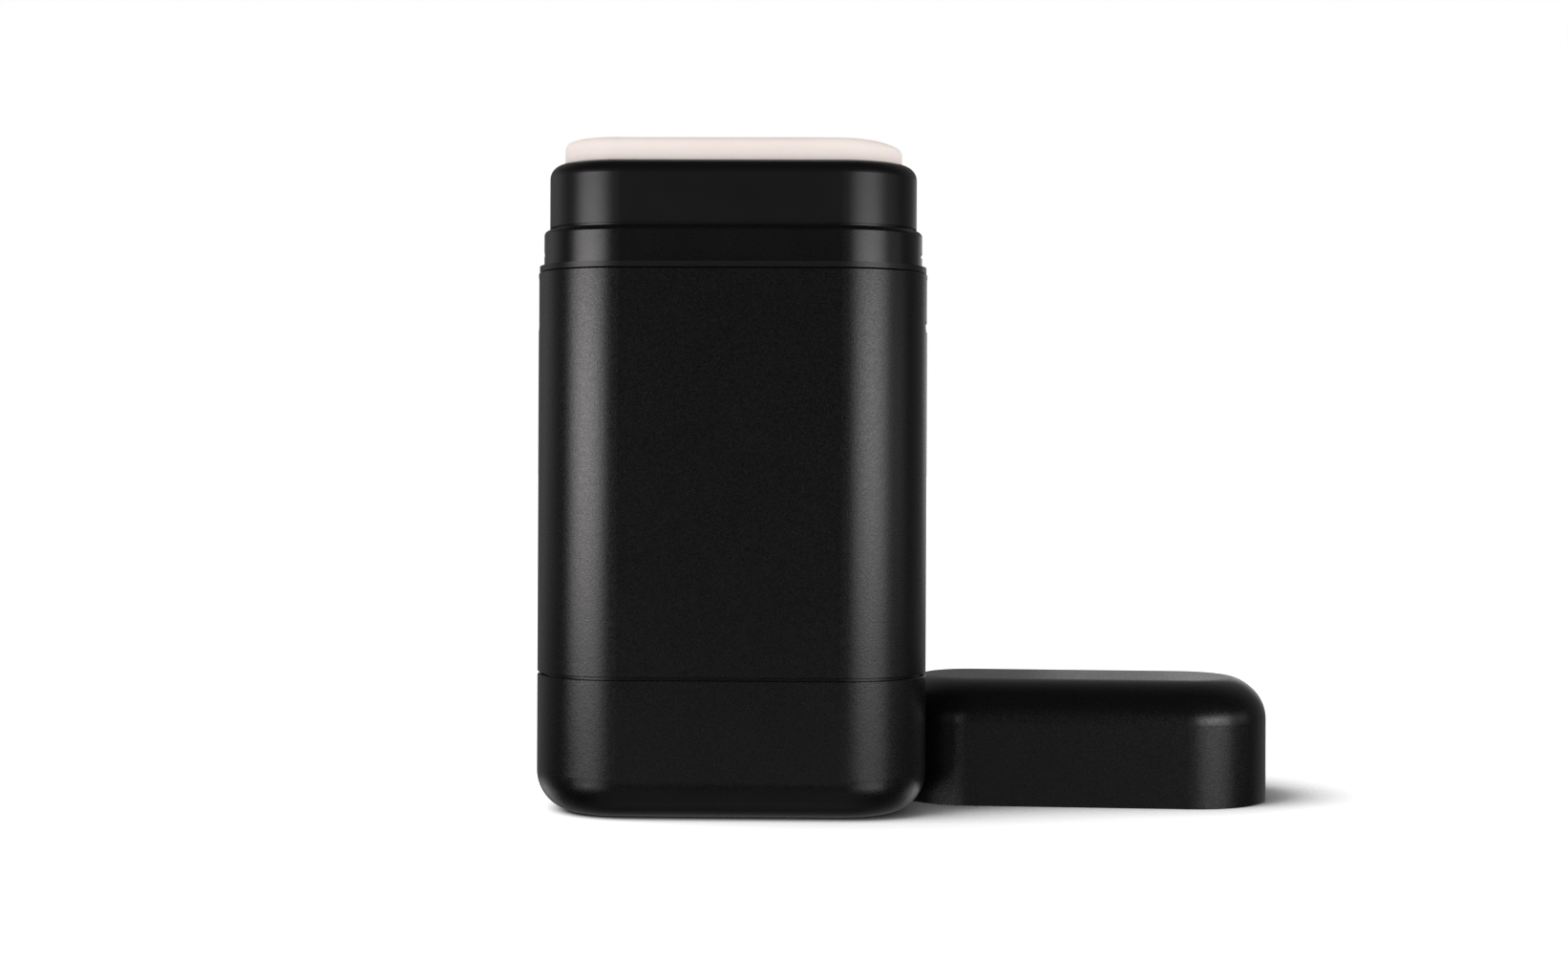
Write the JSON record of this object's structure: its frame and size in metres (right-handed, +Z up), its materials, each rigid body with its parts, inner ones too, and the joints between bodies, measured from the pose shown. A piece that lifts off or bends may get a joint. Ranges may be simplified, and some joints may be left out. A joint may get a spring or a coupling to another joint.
{
  "type": "deodorant stick",
  "caption": "Refillable deodorant stick in a black aluminium case, with side release buttons, a lift screw turned by a dial underneath, and a pull-off cap standing beside it.",
  "frame": {"origin": "middle of the stick's underside, on the surface that it stands on", "axes": "+Z up along the stick, -Y towards the front, +X to the right where the cap stands"},
  "size_m": [0.1214, 0.0514, 0.1088],
  "materials": {
    "anodised_black": "fine blasted and anodised, satin black",
    "moulded_black": "smooth satin moulded black",
    "deodorant": "soft waxy pale pinkish white",
    "pulp": "moulded plant pulp, unbleached",
    "natural_plastic": "natural white moulded plastic",
    "spring_steel": "bright spring steel",
    "ring_rubber": "matt"
  },
  "bodies": {
    "root": {"cap_shell": "anodised_black", "cap_liner": "moulded_black", "refill_cup": "pulp", "insert_frame": "moulded_black", "left_button_spring": "spring_steel", "right_button_spring": "spring_steel", "outer_sleeve": "anodised_black", "core_frame": "moulded_black", "base_shell": "anodised_black"},
    "carriage": {"deodorant_block": "deodorant", "refill_plunger": "pulp", "lift_platform": "natural_plastic"},
    "drive": {"dial": "moulded_black", "lift_spindle": "natural_plastic", "spindle_stop_ring": "spring_steel", "dial_friction_ring": "ring_rubber"},
    "left_release": {"left_button": "moulded_black"},
    "right_release": {"right_button": "moulded_black"}
  },
  "joints": [
    {"name": "stick_lift", "type": "slide", "parent": "root", "child": "carriage", "axis": [0, 0, 1], "range_m": [-0.0061, 0.0301]},
    {"name": "dial_turn", "type": "hinge", "parent": "root", "child": "drive", "pos_m": [0, 0, 0.0045], "axis": [0, 0, 1], "range_deg": [-440, 2168]},
    {"name": "left_button_press", "type": "slide", "parent": "root", "child": "left_release", "axis": [1, 0, 0], "range_m": [0, 0.00075], "stiffness_N_per_m": 2000, "springref_m": -0.0005, "deforming": ["left_button_spring"]},
    {"name": "right_button_press", "type": "slide", "parent": "root", "child": "right_release", "axis": [-1, 0, 0], "range_m": [0, 0.00075], "stiffness_N_per_m": 2000, "springref_m": -0.0005, "deforming": ["right_button_spring"]}
  ],
  "couplings": [
    {"joint": "dial_turn", "follows": "stick_lift", "rad_per_m": 1256.6}
  ]
}
